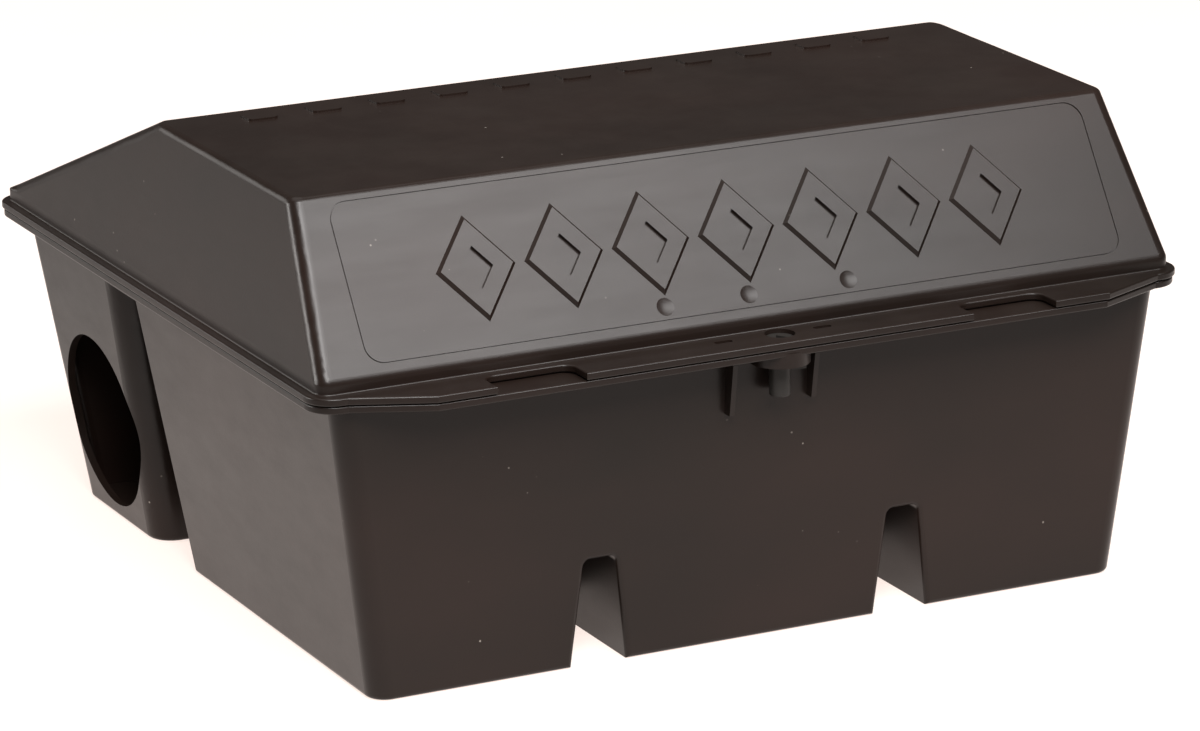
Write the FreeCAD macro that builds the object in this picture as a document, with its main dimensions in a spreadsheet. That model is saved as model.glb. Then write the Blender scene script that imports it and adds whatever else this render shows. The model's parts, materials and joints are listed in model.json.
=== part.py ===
"""Lockable rodent bait station: a moulded base tray with a hinged lid, a quarter-turn key
lock, two bait rods with wax blocks and two loose-bait trays.

Frame: X along the length, +Y towards the hinges, +Z up.  The origin is on the ground,
midway between the ends and midway between the front lip and the back of the hinges.
"""
import FreeCAD, Part
import Sketcher
import math
import os

Vector = FreeCAD.Vector
Rotation = FreeCAD.Rotation
Placement = FreeCAD.Placement

doc = FreeCAD.newDocument("bait_station")
sheet = doc.addObject("Spreadsheet::Sheet", "dims")

DIMENSIONS = [
    # overall levels
    ("flange_top", "96.4", "top of the lid flange above the ground"),
    ("lid_top", "146.7", "highest flat of the lid"),
    ("flange_thick", "2.3", "thickness of each of the two flanges"),
    ("flange_gap", "0.3", "air between the two closed flanges"),
    ("wall", "2.2", "moulded wall thickness"),
    ("bite", "1", "overlap that joins one feature to the next"),
    ("slack", "0.05", "small clearance between loose pieces"),
    ("lid_under", "=flange_top - flange_thick", "underside of the lid flange"),
    ("rim_top", "=lid_under - flange_gap", "top of the base flange"),
    ("rim_under", "=rim_top - flange_thick", "underside of the base flange"),
    # flange outline
    ("flange_half", "145", "half length of the flanges"),
    ("flange_depth_half", "127.8", "half depth of the flanges without the front lip"),
    ("flange_corner", "9", "corner radius of the flanges"),
    ("lip_front", "138.2", "front edge of the lip, in front of the origin"),
    ("lip_half", "111.5", "half length of the lip's straight front edge"),
    ("lip_root_half", "135", "half length of the lip where it leaves the flange"),
    ("rim_inset", "0.5", "how far the base flange stands inside the lid flange"),
    # base tray
    ("foot_half", "125.7", "half length of the tray at the ground"),
    ("foot_front", "120.5", "front wall at the ground"),
    ("foot_back", "104.5", "back wall at the ground"),
    ("tray_half", "137.5", "half length of the tray under its flange"),
    ("tray_front", "124.6", "front wall under the flange"),
    ("tray_back", "120.4", "back wall under the flange"),
    ("tray_corner", "6.5", "radius of the tray's upright corners"),
    ("foot_round", "1.5", "rounding along the tray's bottom edges and the front channels' mouths"),
    # entry holes
    ("hole_back", "76.9", "entry hole centre behind the origin"),
    ("hole_up", "32.6", "entry hole centre above the ground"),
    ("hole_radius", "28.2", "entry hole radius"),
    # end channels between the bait chamber and the rear tunnel
    ("gap_front_low", "12.8", "front side of an end channel at the ground"),
    ("gap_front_high", "28.4", "front side of an end channel at its top"),
    ("gap_back_low", "43.6", "back side of an end channel at the ground"),
    ("gap_back_high", "45.4", "back side of an end channel at its top"),
    ("gap_inner_low", "40", "inner end of an end channel at the ground"),
    ("gap_inner_high", "48", "inner end of an end channel at its top"),
    ("gap_high", "85.5", "height of the end channels"),
    ("gap_corner", "3", "corner radius inside an end channel"),
    ("lining_out_low", "124.7", "where a channel's walls join the end wall at the ground"),
    ("lining_out_high", "136.1", "where a channel's walls join the end wall at their top"),
    ("lining_corner", "0.8", "corner radius outside a channel's walls"),
    ("tunnel_round", "8.5", "rounding of the tunnel block's upright front corner"),
    # front channels that part the front into three feet
    ("notch_left", "52.4", "centre of the left front channel"),
    ("notch_right", "49.8", "centre of the right front channel"),
    ("notch_low_half", "9.2", "half width of a front channel at the ground"),
    ("notch_high_half", "5.2", "half width of a front channel at its top"),
    ("notch_round", "2.4", "radius of a front channel's top corners"),
    ("notch_high", "33.4", "height of the front channels"),
    ("notch_end", "62", "where a front channel ends, in front of the origin"),
    # bait rods and their holders
    ("rod_radius", "1.6", "radius of a bait rod"),
    ("rod_up", "62", "height of the bait rods"),
    ("rod_front", "82", "front rod, in front of the origin"),
    ("rod_rear", "22", "rear rod, in front of the origin"),
    ("holder_at", "118", "middle of a rod holder from the centre"),
    ("holder_half", "3", "half thickness of a rod holder"),
    ("holder_wide", "8", "half width of a rod holder"),
    ("holder_slot", "1.95", "half width of the slot in a rod holder"),
    ("holder_above", "12", "how far a holder stands above its rod"),
    ("rod_ease", "0.2", "gap under a rod in its slots"),
    ("rod_half", "124", "half length of a bait rod"),
    ("rod_head", "3.4", "radius of the upset head of a bait rod"),
    ("rod_head_long", "1.6", "length of the head of a bait rod"),
    ("rod_round", "0.5", "rounding of a rod's ends"),
    ("stop_radius", "4.6", "outer radius of a rubber stop on a rod"),
    ("stop_thick", "2.5", "thickness of a rubber stop"),
    # bait blocks
    ("block_half_long", "18.5", "half length of a bait block along its rod"),
    ("block_half_wide", "13.5", "half width of a bait block"),
    ("block_pitch", "42", "spacing of the blocks on a rod"),
    ("block_bore", "3.5", "radius of the hole through a bait block"),
    ("block_round", "0.8", "rounding around a bait block's ends"),
    ("block_groove", "2", "depth of the grooves along a bait block"),
    # loose-bait trays
    ("cup_outer", "111", "outer side of a bait tray from the centre"),
    ("cup_inner", "67", "inner side of a bait tray from the centre"),
    ("cup_front", "112", "front side of a bait tray"),
    ("cup_back", "8", "back side of a bait tray, in front of the origin"),
    ("cup_base", "2.6", "underside of a bait tray above the ground"),
    ("cup_high", "17", "height of a bait tray"),
    ("cup_wall", "1.3", "wall thickness of a bait tray"),
    ("cup_corner", "5", "corner radius of a bait tray"),
    ("cup_lean", "2", "how far the tray's sides lean out"),
    # lid
    ("lid_half", "142.1", "half length of the lid's skirt"),
    ("lid_front", "124", "front of the lid's skirt"),
    ("lid_back", "124.1", "back of the lid's skirt"),
    ("skirt_top", "100", "top of the upright skirt"),
    ("skirt_corner", "4.4", "radius of the skirt's corners, the hips and the shoulder"),
    ("crown_half", "136.3", "half length of the lid's top"),
    ("crown_front", "92.5", "front edge of the lid's top"),
    ("crown_back", "9.3", "back edge of the lid's top, behind the origin"),
    ("crown_round", "2.4", "rounding along the edges of the lid's top"),
    ("flange_fillet", "0.6", "fillet where the skirt meets the flange"),
    ("scallop_at", "78.5", "finger scallop centre from the middle"),
    ("scallop_half", "14.2", "half length of a finger scallop"),
    ("scallop_back", "127.2", "inner side of a finger scallop"),
    ("scallop_corner", "4", "radius of a finger scallop's inner corners"),
    ("edge_round", "0.6", "rounding of the flanges' outer edges"),
    ("slope_rise", "=lid_top - skirt_top", "height of the lid's slopes"),
    ("slope_run", "=lid_front - crown_front", "how far the front slope leans back"),
    ("slope_long", "=sqrt(slope_rise ^ 2 + slope_run ^ 2)", "length of the front slope"),
    # label field on the sloping front
    ("field_half", "126", "half length of the label field"),
    ("field_low", "3.6", "lower edge of the field, up the slope from the skirt"),
    ("field_high", "53.6", "upper edge of the field, up the slope"),
    ("field_corner", "6", "corner radius of the field's outline"),
    ("field_line", "0.45", "width of the outline groove"),
    ("field_deep", "0.35", "depth of the outline groove"),
    ("badge_low", "11.4", "lower tip of a raised lozenge, up the slope"),
    ("badge_high", "44.4", "upper tip of a raised lozenge"),
    ("badge_half", "12.8", "half width of a raised lozenge"),
    ("badge_band", "6.4", "width of a lozenge's raised band, measured level"),
    ("badge_pitch", "28.4", "spacing of the lozenges"),
    ("badge_rise", "1.1", "height of the lozenges"),
    ("badge_draft", "42", "lean of the lozenges' sides, in degrees"),
    ("tick_front", "4.5", "front of the raised ticks on the top, in front of the origin"),
    ("tick_back", "3.5", "back of the raised ticks, behind the origin"),
    ("tick_half", "5", "half length of a raised tick"),
    ("tick_first", "106", "first tick's distance from the middle"),
    ("tick_corner", "2", "corner radius of the ticks"),
    ("tick_rise", "0.6", "height of the ticks"),
    ("sink_radius", "2.8", "radius of the shallow sink marks"),
    ("sink_up", "8", "sink marks, up the slope from the skirt"),
    ("sink_deep", "0.4", "depth of the sink marks"),
    ("sink_lift", "=(sink_radius ^ 2 - sink_deep ^ 2) / (2 * sink_deep)", "centres of the marks' balls"),
    ("sink_ball", "=(sink_radius ^ 2 + sink_deep ^ 2) / (2 * sink_deep)", "radius of those balls"),
    # hinges
    ("hinge_at", "70", "middle of a hinge from the centre"),
    ("hinge_back", "134", "hinge axis behind the origin"),
    ("hinge_up", "=lid_under - flange_gap / 2", "hinge axis above the ground"),
    ("arm_root", "3", "how far a knuckle's arm reaches over its flange"),
    ("knuckle_radius", "4.2", "outer radius of the hinge knuckles"),
    ("knuckle_mid_half", "8", "half length of the lid's middle knuckle"),
    ("knuckle_gap", "0.5", "gap between neighbouring knuckles"),
    ("knuckle_side", "8", "length of each of the tray's outer knuckles"),
    ("pin_radius", "1.5", "hinge pin radius"),
    ("pin_tight", "0.02", "radial clearance in the tray's knuckles"),
    ("pin_loose", "0.07", "radial clearance in the lid's knuckle"),
    ("pin_head", "2.6", "radius of the hinge pin's head"),
    ("pin_head_long", "1", "length of the hinge pin's head"),
    ("pin_over", "0.4", "how far a pin stands out past its knuckles"),
    ("pin_round", "0.3", "rounding of a pin's ends"),
    # key lock
    ("lock_at", "3.6", "lock axis beside the middle"),
    ("lock_front", "129", "lock axis in front of the origin"),
    ("lock_mouth", "4.6", "radius of the lock's round recess in the lid"),
    ("lock_ledge", "93.9", "ledge under the head of the lock plug"),
    ("lock_collar", "92.3", "underside of the lid's lock collar"),
    ("lock_collar_radius", "6.8", "radius of the lid's lock collar"),
    ("lock_bore", "3.26", "radius of the hole through the ledge"),
    ("mark_left", "15.2", "left turn mark beside the middle"),
    ("mark_right", "17.8", "right turn mark beside the middle"),
    ("mark_half", "3", "half length of a turn mark"),
    ("mark_wide", "1.1", "half width of a turn mark"),
    ("mark_corner", "1", "corner radius of a turn mark"),
    ("mark_deep", "0.9", "depth of a turn mark"),
    ("plug_head", "4.35", "radius of the lock plug's head"),
    ("plug_head_under", "=lock_ledge + 2 * slack", "underside of the lock plug's head"),
    ("plug_head_top", "95.2", "top of the lock plug's head"),
    ("plug_stem", "3.2", "radius of the lock plug's stem"),
    ("plug_round", "0.5", "rounding of the plug's lower end"),
    ("plug_foot", "77.5", "lower end of the lock plug"),
    ("key_radius", "2.3", "corner radius of the three-sided key socket"),
    ("key_floor", "89", "bottom of the key socket"),
    ("lug_top", "87.4", "top of the plug's locking lug"),
    ("lug_thick", "2.4", "thickness of the locking lug"),
    ("lug_reach", "8", "tip of the locking lug from the plug's axis"),
    ("lug_half", "1.7", "half width of the locking lug"),
    ("clip_top", "91.9", "top of the plug's spring clip"),
    ("clip_thick", "0.7", "thickness of the spring clip"),
    ("clip_mouth", "1.6", "half width of the opening in the spring clip"),
    ("clip_radius", "5", "outer radius of the spring clip"),
    ("clip_groove", "2.7", "radius of the plug at the clip's groove"),
    ("pad_under", "88", "underside of the tray's thick lock seat"),
    ("seat_floor", "90.6", "floor of the round recess in the lock seat"),
    ("seat_radius", "8", "radius of the recess in the lock seat"),
    ("seat_boss", "9.1", "radius of the round lock seat"),
    ("seat_bore", "4.1", "radius of the hole through the lock seat"),
    ("slot_half", "2.3", "half width of the lug's way through the seat"),
    ("slot_reach", "9", "end of the lug's way from the lock axis"),
    ("rib_left", "11.2", "left gusset beside the middle"),
    ("rib_right", "16.2", "right gusset beside the middle"),
    ("rib_half", "0.8", "half thickness of a gusset"),
    ("rib_step", "3", "upright part of a gusset's edge below the flange"),
    ("rib_reach", "4.6", "how far a gusset stands out under the flange"),
    ("rib_reach_low", "2.2", "how far a gusset stands out at its lower end"),
    ("rib_left_foot", "72.4", "lower end of the left gusset"),
    ("rib_right_foot", "74.4", "lower end of the right gusset"),
]
for row, (alias, value, note) in enumerate(DIMENSIONS, 1):
    sheet.set(f"A{row}", alias)
    sheet.set(f"B{row}", value)
    sheet.setAlias(f"B{row}", alias)
    sheet.set(f"C{row}", note)
doc.recompute()

LOZENGES = 7
TICKS = 11
BLOCKS_PER_ROD = 5
TINY = 1e-3
QUARTER_TURN = math.pi / 2
# Corners of a bait block's face, as shares of its half width: the groove's floor and brink,
# and the bevel at the block's own corner.
GROOVE_FLOOR, GROOVE_BRINK, BLOCK_BEVEL = 0.3, 0.45, 0.86
SINK_PLACES = (-29.3, -1.6, 31.8)
SIDES = (("left", -1), ("right", 1))


def size(alias):
    """A cell's value as a plain number."""
    return float(getattr(sheet, alias))


def value_of(expression):
    """The number that an expression of cells gives now."""
    return float(sheet.evalExpression(expression))


def new_body(label):
    body = doc.addObject("PartDesign::Body", label)
    body.Label = label
    return body


def new_sketch(body, name, plane="XY_Plane", level="0"):
    """A sketch on one of the body's own origin planes, moved along its normal by level."""
    sketch = body.newObject("Sketcher::SketchObject", name)
    attach(sketch, body, plane)
    sketch.setExpression("AttachmentOffset.Base.z", level)
    return sketch


def attach(item, body, plane):
    """Attach an item to one of the body's own origin planes."""
    support = next(feature for feature in body.Origin.OriginFeatures if feature.Role == plane)
    item.AttachmentSupport = [(support, "")]
    item.MapMode = "FlatFace"


def set_size(sketch, constraint, name, expression):
    """Add a named dimension and bind it to the sheet."""
    index = sketch.addConstraint(constraint)
    sketch.renameConstraint(index, name)
    sketch.setExpression(f"Constraints.{name}", expression)


def draw_box(sketch, low_x, high_x, low_y, high_y, tag="box"):
    """A rectangle whose four sides are bound to expressions."""
    x0, x1, y0, y1 = (value_of(item) for item in (low_x, high_x, low_y, high_y))
    corners = [Vector(x0, y0), Vector(x1, y0), Vector(x1, y1), Vector(x0, y1)]
    first = sketch.GeometryCount
    for index in range(4):
        sketch.addGeometry(Part.LineSegment(corners[index], corners[(index + 1) % 4]))
    for index in range(4):
        following = first + (index + 1) % 4
        sketch.addConstraint(Sketcher.Constraint("Coincident", first + index, 2, following, 1))
    for index in (0, 2):
        sketch.addConstraint(Sketcher.Constraint("Horizontal", first + index))
        sketch.addConstraint(Sketcher.Constraint("Vertical", first + index + 1))
    bind_corner(sketch, first, 1, low_x, low_y, tag + "_low")
    bind_corner(sketch, first + 2, 1, high_x, high_y, tag + "_high")


def bind_corner(sketch, geometry, point, across, along, tag):
    """Place one point of a sketch by its two coordinates."""
    x = value_of(across)
    y = value_of(along)
    set_size(sketch, Sketcher.Constraint("DistanceX", geometry, point, x), tag + "_x", across)
    set_size(sketch, Sketcher.Constraint("DistanceY", geometry, point, y), tag + "_y", along)


def draw_polygon(sketch, points, tag="corner"):
    """A closed outline of straight sides, each corner placed by two expressions."""
    places = [Vector(value_of(across), value_of(along)) for across, along in points]
    first = sketch.GeometryCount
    count = len(points)
    for index in range(count):
        sketch.addGeometry(Part.LineSegment(places[index], places[(index + 1) % count]))
    for index in range(count):
        following = first + (index + 1) % count
        sketch.addConstraint(Sketcher.Constraint("Coincident", first + index, 2, following, 1))
    for index, (across, along) in enumerate(points):
        bind_corner(sketch, first + index, 1, across, along, f"{tag}_{index}")


def draw_round_box(sketch, low_x, high_x, low_y, high_y, radius, tag="round"):
    """A rectangle with four equal round corners."""
    x0, x1, y0, y1, r = (value_of(item) for item in (low_x, high_x, low_y, high_y, radius))
    first = sketch.GeometryCount
    sides = [
        (Vector(x0 + r, y0), Vector(x1 - r, y0)),
        (Vector(x1, y0 + r), Vector(x1, y1 - r)),
        (Vector(x1 - r, y1), Vector(x0 + r, y1)),
        (Vector(x0, y1 - r), Vector(x0, y0 + r)),
    ]
    corners = ((x1 - r, y0 + r), (x1 - r, y1 - r), (x0 + r, y1 - r), (x0 + r, y0 + r))
    centres = [Vector(*corner) for corner in corners]
    for index in range(4):
        start = (index - 1) * QUARTER_TURN
        circle = Part.Circle(centres[index], Vector(0, 0, 1), r)
        sketch.addGeometry(Part.LineSegment(*sides[index]))
        sketch.addGeometry(Part.ArcOfCircle(circle, start, start + QUARTER_TURN))
    for index in range(4):
        line = first + 2 * index
        arc = line + 1
        following = first + (2 * index + 2) % 8
        sketch.addConstraint(Sketcher.Constraint("Tangent", line, 2, arc, 1))
        sketch.addConstraint(Sketcher.Constraint("Tangent", arc, 2, following, 1))
        if index:
            sketch.addConstraint(Sketcher.Constraint("Equal", first + 1, arc))
    sketch.addConstraint(Sketcher.Constraint("Horizontal", first))
    sketch.addConstraint(Sketcher.Constraint("Vertical", first + 2))
    sketch.addConstraint(Sketcher.Constraint("Horizontal", first + 4))
    sketch.addConstraint(Sketcher.Constraint("Vertical", first + 6))
    set_size(sketch, Sketcher.Constraint("Radius", first + 1, r), tag + "_r", radius)
    set_size(sketch, Sketcher.Constraint("DistanceY", first, 1, y0), tag + "_y0", low_y)
    set_size(sketch, Sketcher.Constraint("DistanceX", first + 2, 1, x1), tag + "_x1", high_x)
    set_size(sketch, Sketcher.Constraint("DistanceY", first + 4, 1, y1), tag + "_y1", high_y)
    set_size(sketch, Sketcher.Constraint("DistanceX", first + 6, 1, x0), tag + "_x0", low_x)


def draw_circle(sketch, across, along, radius, tag="circle"):
    centre = Vector(value_of(across), value_of(along))
    index = sketch.addGeometry(Part.Circle(centre, Vector(0, 0, 1), value_of(radius)))
    set_size(sketch, Sketcher.Constraint("Radius", index, value_of(radius)), tag + "_r", radius)
    bind_corner(sketch, index, 3, across, along, tag)


def add_pad(body, sketch, length, name):
    pad = body.newObject("PartDesign::Pad", name)
    pad.Profile = sketch
    pad.setExpression("Length", length)
    return pad


def add_pocket(body, sketch, depth, name, upwards=False):
    """Cut from the sketch against its normal, or along it when upwards is set."""
    doc.recompute()
    before = body.Shape.Volume
    pocket = body.newObject("PartDesign::Pocket", name)
    pocket.Profile = sketch
    pocket.Reversed = upwards
    pocket.setExpression("Length", depth)
    doc.recompute()
    if body.Shape.Volume > before - TINY:
        raise RuntimeError(f"{body.Label}: {name} cuts nothing")
    return pocket


def add_through_cut(body, sketch, name):
    """Cut both ways from the sketch, right through the body."""
    doc.recompute()
    before = body.Shape.Volume
    pocket = body.newObject("PartDesign::Pocket", name)
    pocket.Profile = sketch
    pocket.Midplane = True
    pocket.Length = 4 * size("flange_half")
    doc.recompute()
    if body.Shape.Volume > before - TINY:
        raise RuntimeError(f"{body.Label}: {name} cuts nothing")
    return pocket


def add_loft(body, sections, name, cut=False):
    """A straight-sided loft through two sketches, added or cut away."""
    doc.recompute()
    before = body.Shape.Volume if body.Tip else 0
    kind = "PartDesign::SubtractiveLoft" if cut else "PartDesign::AdditiveLoft"
    loft = body.newObject(kind, name)
    loft.Profile = sections[0]
    loft.Sections = sections[1:]
    loft.Ruled = True
    doc.recompute()
    change = body.Shape.Volume - before
    if (cut and change > -TINY) or (not cut and change < TINY):
        raise RuntimeError(f"{body.Label}: {name} changes nothing")
    return loft


def add_fillet(body, radius, name, wanted):
    """Round the edges of the present shape that the wanted test accepts."""
    doc.recompute()
    base = body.Tip
    names = [f"Edge{index}" for index, edge in enumerate(base.Shape.Edges, 1) if wanted(edge)]
    if not names:
        raise RuntimeError(f"{body.Label}: {name} finds no edge")
    fillet = body.newObject("PartDesign::Fillet", name)
    fillet.Base = (base, names)
    fillet.setExpression("Radius", radius)
    doc.recompute()
    if not fillet.isValid():
        raise RuntimeError(f"{body.Label}: {name} failed on {len(names)} edges")
    return fillet


def add_row(body, feature, sketch, spacing, count, name):
    """Repeat a feature along the sketch's level axis."""
    row = body.newObject("PartDesign::LinearPattern", name)
    row.Originals = [feature]
    row.Direction = (sketch, ["H_Axis"])
    row.setExpression("Length", f"{spacing} * {count - 1}")
    row.Occurrences = count
    body.Tip = row
    doc.recompute()
    return row


def signed(sign, expression):
    """The expression on the left (-1) or the right (+1) of the middle."""
    return expression if sign > 0 else f"-({expression})"


def span(sign, near, far):
    """Low and high x of something between two distances from the middle."""
    return (near, far) if sign > 0 else (f"-({far})", f"-({near})")


def flange_outline(sketch, inset):
    """The flange with round corners and a lip that stands out at the front."""
    half = f"dims.flange_half - {inset}"
    back = f"dims.flange_depth_half - {inset}"
    draw_round_box(sketch, f"-({half})", half, f"-({back})", back, "dims.flange_corner")


def lip_outline(sketch, inset):
    root = f"dims.lip_root_half - {inset}"
    half = f"dims.lip_half - {inset}"
    front = f"-(dims.lip_front - {inset})"
    inner = "-dims.tray_front + dims.bite"
    draw_polygon(sketch, [
        (f"-({root})", f"-(dims.flange_depth_half - {inset})"),
        (f"-({half})", front),
        (half, front),
        (root, f"-(dims.flange_depth_half - {inset})"),
        (root, inner),
        (f"-({root})", inner),
    ])


def add_flange(body, level, inset):
    plate = new_sketch(body, "flange_plate", level=level)
    flange_outline(plate, inset)
    add_pad(body, plate, "dims.flange_thick", "flange")
    lip = new_sketch(body, "lip_plate", level=level)
    lip_outline(lip, inset)
    add_pad(body, lip, "dims.flange_thick", "lip")


def add_knuckle(body, low_x, length, bottom, name):
    """One hinge knuckle with the short arm that carries it."""
    arm = new_sketch(body, name + "_arm_side", "YZ_Plane", low_x)
    draw_box(arm, "dims.flange_depth_half - dims.arm_root", "dims.hinge_back", bottom,
             f"{bottom} + dims.flange_thick")
    add_pad(body, arm, length, name + "_arm")
    ring = new_sketch(body, name + "_ring_side", "YZ_Plane", low_x)
    draw_circle(ring, "dims.hinge_back", "dims.hinge_up", "dims.knuckle_radius")
    add_pad(body, ring, length, name)


def is_level(edge, height):
    """True for an edge that lies flat at the given height."""
    box = edge.BoundBox
    return abs(box.ZMin - height) < TINY and abs(box.ZMax - height) < TINY


def is_across(edge):
    """True for an edge that lies in a plane across the length."""
    return edge.BoundBox.XLength < TINY


def build_base_tray():
    body = new_body("base_tray")
    low = new_sketch(body, "tray_foot")
    draw_round_box(low, "-dims.foot_half", "dims.foot_half", "-dims.foot_front", "dims.foot_back",
                   "dims.tray_corner")
    high = new_sketch(body, "tray_rim", level="dims.rim_under")
    draw_round_box(high, "-dims.tray_half", "dims.tray_half", "-dims.tray_front", "dims.tray_back",
                   "dims.tray_corner")
    add_loft(body, [low, high], "tray_block")
    add_flange(body, "dims.rim_under", "dims.rim_inset")
    add_fillet(body, "dims.edge_round", "rim_edge", is_rim_edge)
    hollow_tray(body)
    for name, sign in SIDES:
        add_end_channel(body, name, sign)
    add_front_channel(body, "left", "-dims.notch_left")
    add_front_channel(body, "right", "dims.notch_right")
    holes = new_sketch(body, "entry_circle", "YZ_Plane")
    draw_circle(holes, "dims.hole_back", "dims.hole_up", "dims.hole_radius")
    add_through_cut(body, holes, "entry_holes")
    add_rod_holders(body)
    add_lock_seat(body)
    add_tray_hinges(body)
    add_fillet(body, "dims.foot_round", "foot_rounding", is_foot_edge_or_mouth)
    return body


def is_rim_edge(edge):
    """The outer edges of the tray's flange, top and bottom."""
    middle = edge.CenterOfMass
    level = is_level(edge, size("rim_top")) or is_level(edge, size("rim_under"))
    outside = (abs(middle.x) > size("tray_half") + TINY or middle.y > size("tray_back") + size("bite")
               or middle.y < -size("tray_front") - size("bite"))
    return level and outside


def hollow_tray(body):
    low = new_sketch(body, "hollow_floor", level="dims.wall")
    draw_round_box(low, "-dims.foot_half + dims.wall", "dims.foot_half - dims.wall",
                   "-dims.foot_front + dims.wall", "dims.foot_back - dims.wall",
                   "dims.tray_corner - dims.wall")
    high = new_sketch(body, "hollow_mouth", level="dims.rim_top")
    draw_round_box(high, "-dims.tray_half + dims.wall", "dims.tray_half - dims.wall",
                   "-dims.tray_front + dims.wall", "dims.tray_back - dims.wall",
                   "dims.tray_corner - dims.wall")
    add_loft(body, [low, high], "hollow", cut=True)


def add_end_channel(body, name, sign):
    """An upright channel pressed in from one end, with the walls that line it."""
    lining = []
    for level, x_far, reach in (("low", "dims.lining_out_low", "dims.gap_inner_low"),
                                ("high", "dims.lining_out_high", "dims.gap_inner_high")):
        height = "0" if level == "low" else "dims.gap_high + dims.wall"
        sketch = new_sketch(body, f"lining_{level}_{name}", level=height)
        low_x, high_x = span(sign, f"{reach} - dims.wall", x_far)
        draw_round_box(sketch, low_x, high_x, f"dims.gap_front_{level} - dims.wall",
                       f"dims.gap_back_{level} + dims.wall", "dims.lining_corner")
        lining.append(sketch)
    add_loft(body, lining, f"channel_lining_{name}")
    corner = []
    for level, height, x_far in (("low", "0", "dims.lining_out_low"),
                                 ("high", "dims.gap_high + dims.wall", "dims.lining_out_high")):
        sketch = new_sketch(body, f"corner_{level}_{name}", level=height)
        low_x, high_x = span(sign, f"{x_far} - dims.tunnel_round - dims.wall", x_far)
        back = f"dims.gap_back_{level}"
        draw_box(sketch, low_x, high_x, f"{back} + dims.bite", f"{back} + dims.tunnel_round + dims.wall")
        corner.append(sketch)
    add_loft(body, corner, f"corner_block_{name}")
    gap = []
    for level, height in (("low", "0"), ("high", "dims.gap_high")):
        sketch = new_sketch(body, f"channel_{level}_{name}", level=height)
        low_x, high_x = span(sign, f"dims.gap_inner_{level}", "dims.flange_half")
        draw_round_box(sketch, low_x, high_x, f"dims.gap_front_{level}", f"dims.gap_back_{level}",
                       "dims.gap_corner")
        gap.append(sketch)
    add_loft(body, gap, f"channel_{name}", cut=True)
    add_fillet(body, "dims.tunnel_round", f"tunnel_corner_{name}", tunnel_corner_test(sign))


def tunnel_corner_test(sign):
    """Accepts the upright edge where an end wall turns into its channel's back wall."""
    def wanted(edge):
        box = edge.BoundBox
        outside = sign * edge.CenterOfMass.x > size("foot_half")
        upright = box.ZLength > size("gap_high") / 2
        behind = edge.CenterOfMass.y > size("gap_back_low") - TINY
        near = edge.CenterOfMass.y < size("gap_back_high") + TINY
        return outside and upright and behind and near
    return wanted


def add_front_channel(body, name, centre):
    """A low channel that runs back from the front wall, parting two feet."""
    lining = new_sketch(body, f"lining_{name}", "XZ_Plane", "dims.notch_end - dims.wall")
    draw_channel(lining, centre, "dims.wall", "0")
    length = "dims.foot_front - dims.notch_end + dims.wall - dims.slack"
    add_pad(body, lining, length, f"front_lining_{name}")
    way = new_sketch(body, f"way_{name}", "XZ_Plane", "dims.notch_end")
    draw_channel(way, centre, "0", "-1")
    add_pocket(body, way, "dims.lip_front - dims.notch_end", f"front_channel_{name}", upwards=True)
    add_fillet(body, "dims.notch_round", f"channel_top_{name}", channel_top_test(value_of(centre)))


def draw_channel(sketch, centre, more, bottom):
    """A channel's tapering section, made larger all round by a wall."""
    low = f"dims.notch_low_half + {more}"
    high = f"dims.notch_high_half + {more}"
    draw_polygon(sketch, [
        (f"{centre} - ({low})", bottom),
        (f"{centre} + {low}", bottom),
        (f"{centre} + {high}", f"dims.notch_high + {more}"),
        (f"{centre} - ({high})", f"dims.notch_high + {more}"),
    ])


def channel_top_test(middle):
    """Accepts the two long edges along the top of the front channel at the given x."""
    def wanted(edge):
        near = abs(edge.CenterOfMass.x - middle) < size("notch_high_half") + TINY
        long = edge.BoundBox.YLength > size("notch_end") / 2
        return near and long and is_level(edge, size("notch_high"))
    return wanted


def add_rod_holders(body):
    """Four slotted posts on the floor that the bait rods drop into."""
    for name, sign in SIDES:
        low_x, high_x = span(sign, "dims.holder_at - dims.holder_half", "dims.holder_at + dims.holder_half")
        for row in ("front", "rear"):
            middle = f"-dims.rod_{row}"
            post = new_sketch(body, f"post_{row}_{name}", level="dims.wall / 2")
            draw_box(post, low_x, high_x, f"{middle} - dims.holder_wide", f"{middle} + dims.holder_wide")
            add_pad(body, post, "dims.rod_up + dims.holder_above - dims.wall / 2", f"holder_{row}_{name}")
            floor = "dims.rod_up - dims.rod_radius - dims.rod_ease"
            slot = new_sketch(body, f"slot_{row}_{name}", level=floor)
            draw_box(slot, low_x, high_x, f"{middle} - dims.holder_slot", f"{middle} + dims.holder_slot")
            add_pocket(body, slot, "dims.lid_top", f"holder_slot_{row}_{name}", upwards=True)


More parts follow.
